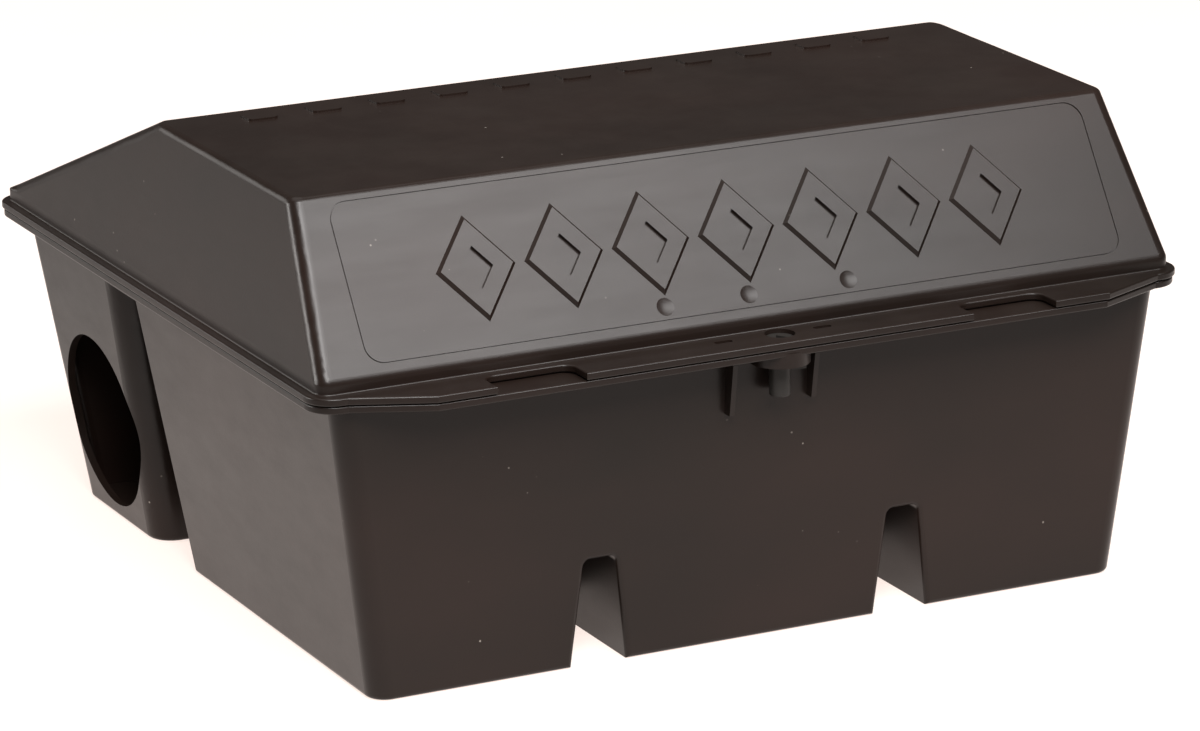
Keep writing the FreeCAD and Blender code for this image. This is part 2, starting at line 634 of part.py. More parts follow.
def add_lock_seat(body):
    """A round boss under the lip, two gussets, a round recess and the lug's keyhole."""
    boss = new_sketch(body, "seat_boss_circle", level="dims.pad_under")
    draw_circle(boss, "dims.lock_at", "-dims.lock_front", "dims.seat_boss")
    add_pad(body, boss, "dims.rim_under + dims.bite - dims.pad_under", "lock_seat")
    under = "-(dims.tray_front + dims.rib_reach)"
    for name, middle, foot in (("left", "-dims.rib_left", "dims.rib_left_foot"),
                               ("right", "dims.rib_right", "dims.rib_right_foot")):
        side = new_sketch(body, f"gusset_side_{name}", "YZ_Plane", f"{middle} - dims.rib_half")
        draw_polygon(side, [
            (under, "dims.rim_under + dims.bite"),
            (under, "dims.rim_under - dims.rib_step"),
            ("-(dims.tray_front + dims.rib_reach_low)", foot),
            ("-dims.tray_front + dims.bite", foot),
            ("-dims.tray_front + dims.bite", "dims.rim_under + dims.bite"),
        ])
        add_pad(body, side, "2 * dims.rib_half", f"gusset_{name}")
    recess = new_sketch(body, "seat_recess_circle", level="dims.seat_floor")
    draw_circle(recess, "dims.lock_at", "-dims.lock_front", "dims.seat_radius")
    add_pocket(body, recess, "dims.lid_top", "seat_recess", upwards=True)
    bore = new_sketch(body, "seat_bore_circle", level="dims.plug_foot - dims.bite")
    draw_circle(bore, "dims.lock_at", "-dims.lock_front", "dims.seat_bore")
    add_pocket(body, bore, "dims.seat_floor", "seat_bore", upwards=True)
    way = new_sketch(body, "lug_way_box", level="dims.pad_under - dims.bite")
    draw_box(way, "dims.lock_at", "dims.lock_at + dims.slot_reach", "-dims.lock_front - dims.slot_half",
             "-dims.lock_front + dims.slot_half")
    add_pocket(body, way, "dims.seat_floor", "lug_way", upwards=True)


def hinge_spans(sign):
    """x where each of a hinge's three knuckles starts: outer left, middle, outer right."""
    middle = signed(sign, "dims.hinge_at")
    outer = "dims.knuckle_mid_half + dims.knuckle_gap"
    return (f"{middle} - ({outer}) - dims.knuckle_side", f"{middle} - dims.knuckle_mid_half",
            f"{middle} + {outer}")


def add_tray_hinges(body):
    for name, sign in SIDES:
        first, _, last = hinge_spans(sign)
        add_knuckle(body, first, "dims.knuckle_side", "dims.rim_under", f"knuckle_{name}_a")
        add_knuckle(body, last, "dims.knuckle_side", "dims.rim_under", f"knuckle_{name}_b")
    bore = new_sketch(body, "hinge_bore_circle", "YZ_Plane")
    draw_circle(bore, "dims.hinge_back", "dims.hinge_up", "dims.pin_radius + dims.pin_tight")
    add_through_cut(body, bore, "hinge_bore")


def is_foot_edge_or_mouth(edge):
    """The tray's outer edges on the ground, and the front channels' mouths in the front wall."""
    box = edge.BoundBox
    middle = edge.CenterOfMass
    if is_level(edge, 0):
        on_end = abs(abs(middle.x) - size("foot_half")) < size("tray_corner")
        on_front = abs(middle.y + size("foot_front")) < size("tray_corner")
        on_back = abs(middle.y - size("foot_back")) < size("tray_corner")
        return on_end or on_front or on_back
    in_front = box.YMax < -size("foot_front") + TINY and box.YMin > -size("tray_front")
    beside = min(abs(middle.x + size("notch_left")), abs(middle.x - size("notch_right")))
    return in_front and beside < size("notch_low_half") and box.ZMax < size("notch_high") + TINY


def build_lid_shell():
    body = new_body("lid_shell")
    base = ("-dims.lid_half", "dims.lid_half", "-dims.lid_front", "dims.lid_back")
    skirt = new_sketch(body, "skirt_outline", level="dims.lid_under")
    draw_box(skirt, *base)
    add_pad(body, skirt, "dims.skirt_top - dims.lid_under", "skirt")
    low = new_sketch(body, "slope_low", level="dims.skirt_top")
    draw_box(low, *base)
    high = new_sketch(body, "slope_high", level="dims.lid_top")
    draw_box(high, "-dims.crown_half", "dims.crown_half", "-dims.crown_front", "dims.crown_back")
    add_loft(body, [low, high], "slopes")
    add_fillet(body, "dims.skirt_corner", "hip_rounding", is_hip_or_shoulder)
    add_fillet(body, "dims.crown_round", "crown_rounding", lambda edge: is_level(edge, size("lid_top")))
    add_flange(body, "dims.lid_under", "0")
    add_fillet(body, "dims.flange_fillet", "flange_root", is_flange_root)
    hollow_lid(body)
    add_finger_scallops(body)
    add_fillet(body, "dims.edge_round", "flange_edge", is_lid_flange_edge)
    add_lid_lock_collar(body)
    add_lid_hinges(body)
    add_label_field(body)
    add_sink_marks(body)
    add_ticks(body)
    add_lozenges(body)
    return body


def is_hip_or_shoulder(edge):
    """The skirt's upright corners, the sloping hips and the shoulder between skirt and slopes."""
    return edge.BoundBox.ZLength > 1 or is_level(edge, size("skirt_top"))


def is_flange_root(edge):
    """The loop where the skirt meets the top of the flange."""
    box = edge.BoundBox
    inside_x = max(abs(box.XMin), abs(box.XMax)) < size("lid_half") + TINY
    inside_y = box.YMin > -size("lid_front") - TINY and box.YMax < size("lid_back") + TINY
    return is_level(edge, size("flange_top")) and inside_x and inside_y


def is_lid_flange_edge(edge):
    """The outer edges of the lid flange, top and bottom, with the scallops' edges."""
    middle = edge.CenterOfMass
    level = is_level(edge, size("flange_top")) or is_level(edge, size("lid_under"))
    more = size("bite")
    outside = (abs(middle.x) > size("lid_half") + more or middle.y > size("lid_back") + more
               or middle.y < -size("lid_front") - 2 * more)
    return level and outside


def hollow_lid(body):
    """Wall thickness all round: a straight hollow in the skirt and a tapering one above it."""
    sides = ("-dims.lid_half + dims.wall", "dims.lid_half - dims.wall",
             "-dims.lid_front + dims.wall", "dims.lid_back - dims.wall",
             "dims.skirt_corner - dims.wall")
    mouth = new_sketch(body, "hollow_mouth_lid", level="dims.lid_under")
    draw_round_box(mouth, *sides)
    add_pocket(body, mouth, "dims.skirt_top - dims.lid_under - dims.bite", "hollow_skirt", upwards=True)
    low = new_sketch(body, "hollow_low_lid", level="dims.skirt_top - dims.bite")
    draw_round_box(low, *sides)
    high = new_sketch(body, "hollow_high_lid", level="dims.lid_top - dims.wall")
    draw_round_box(high, "-dims.crown_half + dims.wall", "dims.crown_half - dims.wall",
                   "-dims.crown_front + dims.wall / 2", "dims.crown_back - dims.wall / 4",
                   "dims.skirt_corner - dims.wall")
    add_loft(body, [low, high], "hollow_slopes", cut=True)


def add_finger_scallops(body):
    for name, sign in SIDES:
        sketch = new_sketch(body, f"scallop_box_{name}", level="dims.lid_under - dims.bite")
        low_x, high_x = span(sign, "dims.scallop_at - dims.scallop_half",
                             "dims.scallop_at + dims.scallop_half")
        draw_round_box(sketch, low_x, high_x, "-(dims.lip_front + 2 * dims.scallop_corner)",
                       "-dims.scallop_back", "dims.scallop_corner")
        add_pocket(body, sketch, "dims.flange_thick + 2 * dims.bite", f"scallop_{name}", upwards=True)


def add_lid_lock_collar(body):
    """A round collar under the lip, bored in two steps for the lock plug."""
    collar = new_sketch(body, "collar_circle", level="dims.lock_collar")
    draw_circle(collar, "dims.lock_at", "-dims.lock_front", "dims.lock_collar_radius")
    add_pad(body, collar, "dims.lid_under - dims.lock_collar + dims.bite", "lock_collar")
    mouth = new_sketch(body, "lock_mouth_circle", level="dims.lock_ledge")
    draw_circle(mouth, "dims.lock_at", "-dims.lock_front", "dims.lock_mouth")
    add_pocket(body, mouth, "dims.flange_top - dims.lock_ledge + dims.bite", "lock_mouth", upwards=True)
    bore = new_sketch(body, "lock_bore_circle", level="dims.lock_collar - dims.bite")
    draw_circle(bore, "dims.lock_at", "-dims.lock_front", "dims.lock_bore")
    add_pocket(body, bore, "dims.lock_ledge - dims.lock_collar + 2 * dims.bite", "lock_bore", upwards=True)
    for name, middle in (("left", "-dims.mark_left"), ("right", "dims.mark_right")):
        mark = new_sketch(body, f"mark_box_{name}", level="dims.flange_top - dims.mark_deep")
        draw_round_box(mark, f"{middle} - dims.mark_half", f"{middle} + dims.mark_half",
                       "-dims.lock_front - dims.mark_wide", "-dims.lock_front + dims.mark_wide",
                       "dims.mark_corner")
        add_pocket(body, mark, "dims.mark_deep + dims.bite", f"turn_mark_{name}", upwards=True)


def add_lid_hinges(body):
    for name, sign in SIDES:
        _, middle, _ = hinge_spans(sign)
        add_knuckle(body, middle, "2 * dims.knuckle_mid_half", "dims.lid_under", f"knuckle_{name}")
    bore = new_sketch(body, "hinge_bore_circle_lid", "YZ_Plane")
    draw_circle(bore, "dims.hinge_back", "dims.hinge_up", "dims.pin_radius + dims.pin_loose")
    add_through_cut(body, bore, "hinge_bore_lid")


def lay_on_front_slope(sketch):
    """Turn a sketch's plane to lie on the lid's sloping front, its origin on the skirt's edge."""
    sketch.AttachmentOffset = Placement(Vector(0, 0, 0), Rotation(Vector(1, 0, 0), 1))
    sketch.setExpression("AttachmentOffset.Base.y", "-dims.lid_front")
    sketch.setExpression("AttachmentOffset.Base.z", "dims.skirt_top")
    sketch.setExpression("AttachmentOffset.Rotation.Angle", "atan(dims.slope_rise / dims.slope_run)")


def add_label_field(body):
    """A fine groove in the outline of a rectangle with round corners."""
    field = new_sketch(body, "field_outline")
    lay_on_front_slope(field)
    draw_round_box(field, "-dims.field_half", "dims.field_half", "dims.field_low", "dims.field_high",
                   "dims.field_corner", "outer")
    draw_round_box(field, "-dims.field_half + dims.field_line", "dims.field_half - dims.field_line",
                   "dims.field_low + dims.field_line", "dims.field_high - dims.field_line",
                   "dims.field_corner - dims.field_line", "inner")
    add_pocket(body, field, "dims.field_deep", "field_groove")


def add_sink_marks(body):
    """Shallow dished sinks below the label field's middle, cut by balls that dip into the slope."""
    out = "(dims.sink_up * dims.slope_run - dims.sink_lift * dims.slope_rise) / dims.slope_long"
    up = "(dims.sink_up * dims.slope_rise + dims.sink_lift * dims.slope_run) / dims.slope_long"
    for index, across in enumerate(SINK_PLACES, 1):
        ball = body.newObject("PartDesign::SubtractiveSphere", f"sink_{index}")
        attach(ball, body, "XY_Plane")
        ball.setExpression("Radius", "dims.sink_ball")
        ball.setExpression("AttachmentOffset.Base.x", f"{across}")
        ball.setExpression("AttachmentOffset.Base.y", f"{out} - dims.lid_front")
        ball.setExpression("AttachmentOffset.Base.z", f"{up} + dims.skirt_top")


def add_ticks(body):
    """A row of plain raised ticks along the back edge of the lid's top."""
    tick = new_sketch(body, "tick_box", level="dims.lid_top - dims.bite")
    draw_round_box(tick, "-dims.tick_first - dims.tick_half", "-dims.tick_first + dims.tick_half",
                   "-dims.tick_front", "dims.tick_back", "dims.tick_corner")
    pad = add_pad(body, tick, "dims.tick_rise + dims.bite", "tick")
    add_row(body, pad, tick, f"2 * dims.tick_first / {TICKS - 1}", TICKS, "ticks")


def add_lozenges(body):
    """A row of plain raised lozenge outlines in the label field."""
    sketch = new_sketch(body, "lozenge_outline")
    lay_on_front_slope(sketch)
    centre = f"-dims.badge_pitch * {(LOZENGES - 1) / 2}"
    middle = "(dims.badge_low + dims.badge_high) / 2"
    slant = "(dims.badge_high - dims.badge_low) / (2 * dims.badge_half)"
    draw_polygon(sketch, [
        (f"{centre} - dims.badge_half", middle),
        (centre, "dims.badge_low"),
        (f"{centre} + dims.badge_half", middle),
        (centre, "dims.badge_high"),
    ], "outer")
    draw_polygon(sketch, [
        (f"{centre} - dims.badge_half + dims.badge_band", middle),
        (centre, f"dims.badge_low + dims.badge_band * {slant}"),
        (f"{centre} + dims.badge_half - dims.badge_band", middle),
        (centre, f"dims.badge_high - dims.badge_band * {slant}"),
    ], "inner")
    pad = add_pad(body, sketch, "dims.badge_rise", "lozenge")
    pad.setExpression("TaperAngle", "-dims.badge_draft")
    add_row(body, pad, sketch, "dims.badge_pitch", LOZENGES, "lozenges")


def build_hinge_pin(name, sign):
    """A steel pin with a small head, through a hinge's three knuckles."""
    body = new_body(f"hinge_pin_{name}")
    first = hinge_spans(sign)[0]
    stem = new_sketch(body, "stem_circle", "YZ_Plane", f"{first} - dims.pin_over")
    draw_circle(stem, "dims.hinge_back", "dims.hinge_up", "dims.pin_radius")
    reach = "2 * (dims.knuckle_mid_half + dims.knuckle_gap + dims.knuckle_side + dims.pin_over)"
    add_pad(body, stem, reach, "stem")
    head = new_sketch(body, "head_circle", "YZ_Plane", f"{first} - dims.pin_over - dims.pin_head_long")
    draw_circle(head, "dims.hinge_back", "dims.hinge_up", "dims.pin_head")
    add_pad(body, head, "dims.pin_head_long", "head")
    add_fillet(body, "dims.pin_round", "end_rounding", is_across)
    return body


def build_lock_plug():
    """Round plug with a three-sided key socket, a clip groove and one locking lug."""
    body = new_body("lock_plug")
    across, along = "dims.lock_at", "-dims.lock_front"
    stem = new_sketch(body, "stem_circle", level="dims.plug_foot")
    draw_circle(stem, across, along, "dims.plug_stem")
    add_pad(body, stem, "dims.plug_head_under - dims.plug_foot", "stem")
    head = new_sketch(body, "head_circle", level="dims.plug_head_under")
    draw_circle(head, across, along, "dims.plug_head")
    add_pad(body, head, "dims.plug_head_top - dims.plug_head_under", "head")
    lug = new_sketch(body, "lug_box", level="dims.lug_top - dims.lug_thick")
    draw_box(lug, across, f"{across} + dims.lug_reach", f"{along} - dims.lug_half",
             f"{along} + dims.lug_half")
    add_pad(body, lug, "dims.lug_thick", "lug")
    groove = new_sketch(body, "groove_ring", level="dims.clip_top - dims.clip_thick - dims.slack")
    draw_circle(groove, across, along, "dims.plug_stem + dims.bite", "outer")
    draw_circle(groove, across, along, "dims.clip_groove", "inner")
    add_pocket(body, groove, "dims.clip_thick + 2 * dims.slack", "clip_groove", upwards=True)
    socket = new_sketch(body, "socket_triangle", level="dims.key_floor")
    half = "dims.key_radius * sqrt(3) / 2"
    draw_polygon(socket, [
        (f"{across} - {half}", f"{along} - dims.key_radius / 2"),
        (f"{across} + {half}", f"{along} - dims.key_radius / 2"),
        (across, f"{along} + dims.key_radius"),
    ])
    add_pocket(body, socket, "dims.plug_head_top", "key_socket", upwards=True)
    add_fillet(body, "dims.plug_round", "foot_rounding", lambda edge: is_level(edge, size("plug_foot")))
    return body


def build_lock_clip():
    """Open spring clip that keeps the plug in the lid."""
    body = new_body("lock_clip")
    ring = new_sketch(body, "ring", level="dims.clip_top - dims.clip_thick")
    draw_circle(ring, "dims.lock_at", "-dims.lock_front", "dims.clip_radius", "outer")
    draw_circle(ring, "dims.lock_at", "-dims.lock_front", "dims.clip_groove + dims.slack", "inner")
    add_pad(body, ring, "dims.clip_thick", "clip_ring")
    mouth = new_sketch(body, "mouth_box", level="dims.clip_top - dims.clip_thick - dims.bite")
    draw_box(mouth, "dims.lock_at - dims.clip_radius - dims.bite", "dims.lock_at",
             "-dims.lock_front - dims.clip_mouth", "-dims.lock_front + dims.clip_mouth")
    add_pocket(body, mouth, "dims.clip_thick + 2 * dims.bite", "clip_mouth", upwards=True)
    return body


def build_bait_rod(row):
    """A round steel rod with an upset head at its left end."""
    body = new_body(f"bait_rod_{row}")
    along = f"-dims.rod_{row}"
    stem = new_sketch(body, "stem_circle", "YZ_Plane", "-dims.rod_half")
    draw_circle(stem, along, "dims.rod_up", "dims.rod_radius")
    add_pad(body, stem, "2 * dims.rod_half", "stem")
    head = new_sketch(body, "head_circle", "YZ_Plane", "-dims.rod_half - dims.rod_head_long")
    draw_circle(head, along, "dims.rod_up", "dims.rod_head")
    add_pad(body, head, "dims.rod_head_long", "head")
    add_fillet(body, "dims.rod_round", "end_rounding", is_across)
    return body


def build_bait_block(row, number):
    """A square wax block with grooves along its four faces, threaded on a rod."""
    body = new_body(f"bait_block_{row}_{number}")
    place = f"dims.block_pitch * {number - 1 - (BLOCKS_PER_ROD - 1) / 2}"
    along = f"(-dims.rod_{row})"
    # A block hangs on its rod: the top of its hole rests on the rod.
    up = "(dims.rod_up - dims.block_bore + dims.rod_radius + dims.slack)"
    half = "dims.block_half_wide"
    notch = "dims.block_groove"
    face = new_sketch(body, "block_face", "YZ_Plane", f"{place} - dims.block_half_long")
    corners = []
    for turn in range(4):
        for level, depth in ((-BLOCK_BEVEL, 0), (-GROOVE_BRINK, 0), (-GROOVE_FLOOR, 1),
                             (GROOVE_FLOOR, 1), (GROOVE_BRINK, 0), (BLOCK_BEVEL, 0)):
            corners.append(face_corner(turn, level, depth, along, up, half, notch))
    draw_polygon(face, corners)
    draw_circle(face, along, up, "dims.block_bore", "bore")
    add_pad(body, face, "2 * dims.block_half_long", "block")
    add_fillet(body, "dims.block_round", "end_rounding",
               lambda edge: is_across(edge) and edge.Curve.TypeId == "Part::GeomLine")
    return body


def face_corner(turn, level, depth, along, up, half, notch):
    """One corner of a block's outline: level runs along a face, depth says how far it dips."""
    reach = f"({half} - {notch})" if depth else half
    across = f"{level} * {half}"
    places = ((f"{across}", f"-{reach}"), (f"{reach}", f"{across}"),
              (f"-({across})", f"{reach}"), (f"-{reach}", f"-({across})"))
    offset_y, offset_z = places[turn]
    return f"{along} + {offset_y}", f"{up} + {offset_z}"


def build_rod_stops(row):
    """Two push-on rings that keep the blocks together on a rod; the pair shares a node."""
    along = f"-dims.rod_{row}"
    edge = f"dims.block_pitch * {(BLOCKS_PER_ROD - 1) / 2} + dims.block_half_long + dims.bite"
    rings = []
    for name, start in (("left", f"-({edge}) - dims.stop_thick"), ("right", edge)):
        ring = new_body(f"stop_ring_{row}_{name}")
        face = new_sketch(ring, "ring_face", "YZ_Plane", start)
        draw_circle(face, along, "dims.rod_up", "dims.stop_radius", "outer")
        draw_circle(face, along, "dims.rod_up", "dims.rod_radius + dims.slack", "inner")
        add_pad(ring, face, "dims.stop_thick", "ring")
        rings.append(ring)
    pair = doc.addObject("Part::Compound", f"rod_stops_{row}")
    pair.Label = f"rod_stops_{row}"
    pair.Links = rings
    return pair


def build_bait_tray(name, sign):
    """A shallow open tray for loose bait, in the well between an end wall and a front channel."""
    body = new_body(f"bait_tray_{name}")
    sections = []
    hollows = []
    for tag, level, lean, floor in (("low", "0", "0", "dims.cup_wall"),
                                    ("high", "dims.cup_high", "dims.cup_lean", "dims.cup_high")):
        near = f"dims.cup_inner - {lean} / 2"
        far = f"dims.cup_outer + {lean}"
        front = f"-(dims.cup_front + {lean} / 2)"
        back = f"-dims.cup_back + {lean} / 2"
        outer = new_sketch(body, f"outline_{tag}", level=f"dims.cup_base + {level}")
        low_x, high_x = span(sign, near, far)
        draw_round_box(outer, low_x, high_x, front, back, "dims.cup_corner")
        sections.append(outer)
        inner = (f"{near} + dims.cup_wall", f"{far} - dims.cup_wall", f"{front} + dims.cup_wall",
                 f"{back} - dims.cup_wall", f"dims.cup_base + {floor}")
        hollows.append(inner)
    add_loft(body, sections, "tray_block")
    cuts = []
    for index, (near, far, front, back, level) in enumerate(hollows):
        sketch = new_sketch(body, f"hollow_{index}", level=level)
        low_x, high_x = span(sign, near, far)
        draw_round_box(sketch, low_x, high_x, front, back, "dims.cup_corner - dims.cup_wall")
        cuts.append(sketch)
    add_loft(body, cuts, "tray_hollow", cut=True)
    return body


parts = [build_base_tray(), build_lid_shell()]
for side_name, side_sign in SIDES:
    parts.append(build_hinge_pin(side_name, side_sign))
parts.append(build_lock_plug())
parts.append(build_lock_clip())
for row_name in ("front", "rear"):
    parts.append(build_bait_rod(row_name))
    for block_number in range(1, BLOCKS_PER_ROD + 1):
        parts.append(build_bait_block(row_name, block_number))
    parts.append(build_rod_stops(row_name))
for side_name, side_sign in SIDES:
    parts.append(build_bait_tray(side_name, side_sign))

doc.recompute()
for item in doc.Objects:
    if "Invalid" in item.State or "Error" in item.State:
        raise RuntimeError(f"{item.Label} failed: {item.State}")
os.makedirs("parts", exist_ok=True)
for part in parts:
    if part.Shape.isNull() or not part.Shape.isValid():
        raise RuntimeError(f"{part.Label} has no valid shape")
    part.Shape.exportStep(f"parts/{part.Label}.step")
    print(part.Label, round(part.Shape.Volume), len(part.Shape.Solids))
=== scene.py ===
"""Looks for the rodent bait station: moulded plastic, wax, steel and rubber finishes, loose
bait in the trays, a pale studio floor, soft lights and the camera."""
import json
import math
import random

import bmesh
import bpy
from mathutils import Matrix, Vector


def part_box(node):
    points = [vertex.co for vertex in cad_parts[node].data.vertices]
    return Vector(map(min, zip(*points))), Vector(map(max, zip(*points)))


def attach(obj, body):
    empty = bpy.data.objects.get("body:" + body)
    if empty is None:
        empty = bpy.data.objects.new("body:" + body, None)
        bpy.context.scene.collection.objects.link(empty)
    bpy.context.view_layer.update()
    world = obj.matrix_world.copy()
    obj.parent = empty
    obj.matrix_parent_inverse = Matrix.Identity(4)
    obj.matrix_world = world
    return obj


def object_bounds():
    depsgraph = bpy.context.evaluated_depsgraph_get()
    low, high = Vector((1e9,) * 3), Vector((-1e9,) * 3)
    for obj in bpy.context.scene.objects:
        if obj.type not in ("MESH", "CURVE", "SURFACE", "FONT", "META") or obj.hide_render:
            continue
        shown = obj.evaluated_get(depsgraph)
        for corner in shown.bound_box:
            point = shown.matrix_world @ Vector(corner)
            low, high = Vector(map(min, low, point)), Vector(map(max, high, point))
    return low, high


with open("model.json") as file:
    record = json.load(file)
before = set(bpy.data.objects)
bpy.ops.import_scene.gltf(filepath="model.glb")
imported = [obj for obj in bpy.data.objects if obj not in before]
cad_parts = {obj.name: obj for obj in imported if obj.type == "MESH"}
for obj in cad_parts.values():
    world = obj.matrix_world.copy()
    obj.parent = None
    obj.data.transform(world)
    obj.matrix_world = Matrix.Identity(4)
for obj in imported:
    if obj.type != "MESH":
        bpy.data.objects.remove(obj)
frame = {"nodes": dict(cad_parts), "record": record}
cad_box = [list(corner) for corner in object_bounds()]

# Camera, in metres and degrees, seen from the front left and a little above.
CAMERA_PLACE = Vector((-0.76305, -1.54978, 0.57479))
CAMERA_AZIMUTH = -26.47
CAMERA_ELEVATION = 16.82
CAMERA_ROLL = -0.55
CAMERA_LENS = 171.6
SENSOR_WIDTH = 36
CLIP_NEAR, CLIP_FAR = 0.01, 50

# Softboxes: name, place, the point it faces, width and height in metres, watts, colour.
SOFTBOXES = (
    ("key_softbox", (0.0, -1.02, 1.22), (-0.02, -0.11, 0.12), 1.80, 0.8, 58, (1.0, 0.985, 0.98)),
    ("hip_softbox", (-0.42, -0.98, 1.15), (-0.1, -0.1, 0.1), 0.30, 0.6, 11, (1.0, 0.985, 0.97)),
    ("side_softbox", (-1.70, 0.70, 0.36), (0, 0, 0.1), 0.65, 0.5, 16, (1.0, 0.97, 0.94)),
    ("back_softbox", (-1.36, 1.40, 0.55), (0, 0, 0.1), 1.5, 0.8, 11, (1.0, 0.96, 0.92)),
    ("top_softbox", (-0.2, 0.35, 1.9), (0, 0, 0), 1.9, 1.3, 11, (1.0, 0.98, 0.965)),
)
AIR_COLOUR = (1.0, 0.97, 0.94, 1)
AIR_STRENGTH = 0.08

# Floor: its paper, the glow that keeps it pale around the object and fades from GLOW_NEAR to
# GLOW_FAR, and the fade towards the left, measured along LEFTWARD.
FLOOR_HALF = 9
FLOOR_DROP = 0.0002
FLOOR_DARK = (0.215, 0.211, 0.206, 1)
FLOOR_PALE = (0.23, 0.226, 0.220, 1)
GLOW_COLOUR = (1.0, 0.85, 0.78, 1)
GLOW_CENTRE = (0.1, 0.35, 0)
GLOW_NEAR, GLOW_FAR = 0.58, 0.86
GLOW_FULL, GLOW_LOW = 0.92, 0.15
LEFTWARD = (-0.938, 0.345, 0)
LEFT_NEAR, LEFT_FAR = 0.18, 0.32
LEFT_SHARE = 0.42

# A Mix node's sockets when it mixes colours: share, first, second, and the result.
MIX_INPUTS = (0, 6, 7)
MIX_RESULT = 2

# Colours, linear.
SHELL_DARK = (0.0064, 0.0042, 0.0032, 1)
SHELL_PALE = (0.0118, 0.0064, 0.0049, 1)
DUST_FILM = (0.115, 0.098, 0.084, 1)
DUST_MOTE = (0.30, 0.27, 0.24, 1)
NYLON_DARK = (0.012, 0.011, 0.010, 1)
NYLON_PALE = (0.020, 0.018, 0.016, 1)
LINER_DARK = (0.060, 0.056, 0.052, 1)
LINER_PALE = (0.085, 0.080, 0.074, 1)
WAX_DARK = (0.014, 0.095, 0.078, 1)
WAX_PALE = (0.034, 0.165, 0.130, 1)
WAX_RIND = (0.035, 0.15, 0.11, 1)
CEREAL = (0.30, 0.25, 0.13, 1)
PELLET_DARK = (0.10, 0.24, 0.17, 1)
PELLET_PALE = (0.20, 0.37, 0.25, 1)
ZINC = (0.66, 0.65, 0.62, 1)
OILED_STEEL = (0.40, 0.38, 0.35, 1)
DULLED = 0.72
RUBBER_DARK = (0.013, 0.013, 0.013, 1)
RUBBER_PALE = (0.024, 0.023, 0.022, 1)

# Loose bait pellets, in metres; the sizes in a pair are the least and the most.
PELLET_RADIUS = 0.0021
PELLET_RADIUS_SHARES = (0.88, 1.08)
PELLET_HALF_LENGTHS = (0.0024, 0.0044)
PELLET_TILTS = (-0.16, 0.16)
PELLET_DENTS = (0.90, 1.06)
PELLET_SHIFTS = (-0.05, 0.05)
PELLET_SIDES = 10
PELLET_INSET = 0.0030
PELLET_FLOOR = 0.0013
PELLET_HOVER = 1.1
PELLET_HEAP = 0.0075
PELLET_STEPS = 3
PELLET_CLOSEST = 1.7
PELLET_TRIES = 420
# A pellet's rings: place along its half length, and width as a share of its radius.
PELLET_RINGS = ((-1, 0.62), (-0.86, 0.95), (-0.3, 1), (0.35, 0.98), (0.88, 0.93), (1, 0.58))


def add_softbox(name, place, aim, width, height, watts, colour):
    """A rectangular softbox that faces a point."""
    data = bpy.data.lights.new(name, "AREA")
    data.shape = "RECTANGLE"
    data.size = width
    data.size_y = height
    data.energy = watts
    data.color = colour
    light = bpy.data.objects.new(name, data)
    bpy.context.scene.collection.objects.link(light)
    light.location = place
    light.visible_camera = False
    light.rotation_euler = (Vector(aim) - Vector(place)).to_track_quat("-Z", "Y").to_euler()


def add_camera():
    """The camera, turned by its azimuth, elevation and roll."""
    azimuth = math.radians(CAMERA_AZIMUTH)
    elevation = math.radians(CAMERA_ELEVATION)
    back = Vector((math.sin(azimuth) * math.cos(elevation),
                   -math.cos(azimuth) * math.cos(elevation), math.sin(elevation)))
    level = Vector((math.cos(azimuth), math.sin(azimuth), 0))
    over = back.cross(level)
    roll = math.radians(CAMERA_ROLL)
    right = level * math.cos(roll) + over * math.sin(roll)
    up = over * math.cos(roll) - level * math.sin(roll)
    data = bpy.data.cameras.new("camera")
    data.lens = CAMERA_LENS
    data.sensor_width = SENSOR_WIDTH
    data.sensor_fit = "HORIZONTAL"
    data.clip_start = CLIP_NEAR
    data.clip_end = CLIP_FAR
    camera = bpy.data.objects.new("camera", data)
    bpy.context.scene.collection.objects.link(camera)
    turn = Matrix((right, up, back)).transposed().to_4x4()
    camera.matrix_world = Matrix.Translation(CAMERA_PLACE) @ turn
    bpy.context.scene.camera = camera


def add_studio():
    """Plain colours, dim warm air and the softboxes."""
    bpy.context.scene.view_settings.view_transform = "Standard"
    world = bpy.data.worlds.new("studio_air")
    world.use_nodes = True
    background = world.node_tree.nodes["Background"]
    background.inputs["Color"].default_value = AIR_COLOUR
    background.inputs["Strength"].default_value = AIR_STRENGTH
    bpy.context.scene.world = world
    for softbox in SOFTBOXES:
        add_softbox(*softbox)


def add_floor():
    """A paper floor lit from below around the object, as a light table is."""
    mesh = bpy.data.meshes.new("floor")
    corners = [(-1, -1), (1, -1), (1, 1), (-1, 1)]
    mesh.from_pydata([(x * FLOOR_HALF, y * FLOOR_HALF, 0) for x, y in corners], [], [(0, 1, 2, 3)])
    floor = bpy.data.objects.new("floor", mesh)
    bpy.context.scene.collection.objects.link(floor)
    floor.location.z = cad_box[0][2] - FLOOR_DROP
    paper = Shader("floor_paper")
    paper.set(Roughness=0.9)
    paper.surface.inputs["Emission Color"].default_value = GLOW_COLOUR
    reach = paper.vector_maths("DISTANCE", GLOW_CENTRE)
    glow = paper.spread(reach, start=GLOW_NEAR, stop=GLOW_FAR, low=GLOW_FULL, high=GLOW_LOW)
    left = paper.vector_maths("DOT_PRODUCT", LEFTWARD)
    fade = paper.spread(left, start=LEFT_NEAR, stop=LEFT_FAR, low=1, high=LEFT_SHARE)
    paper.link(paper.times(glow, fade), paper.surface.inputs["Emission Strength"])
    tone = paper.noise(scale=9, detail=4)
    paper.colour(paper.ramp(tone, ((0.3, FLOOR_DARK), (0.7, FLOOR_PALE))))
    mesh.materials.append(paper.material)


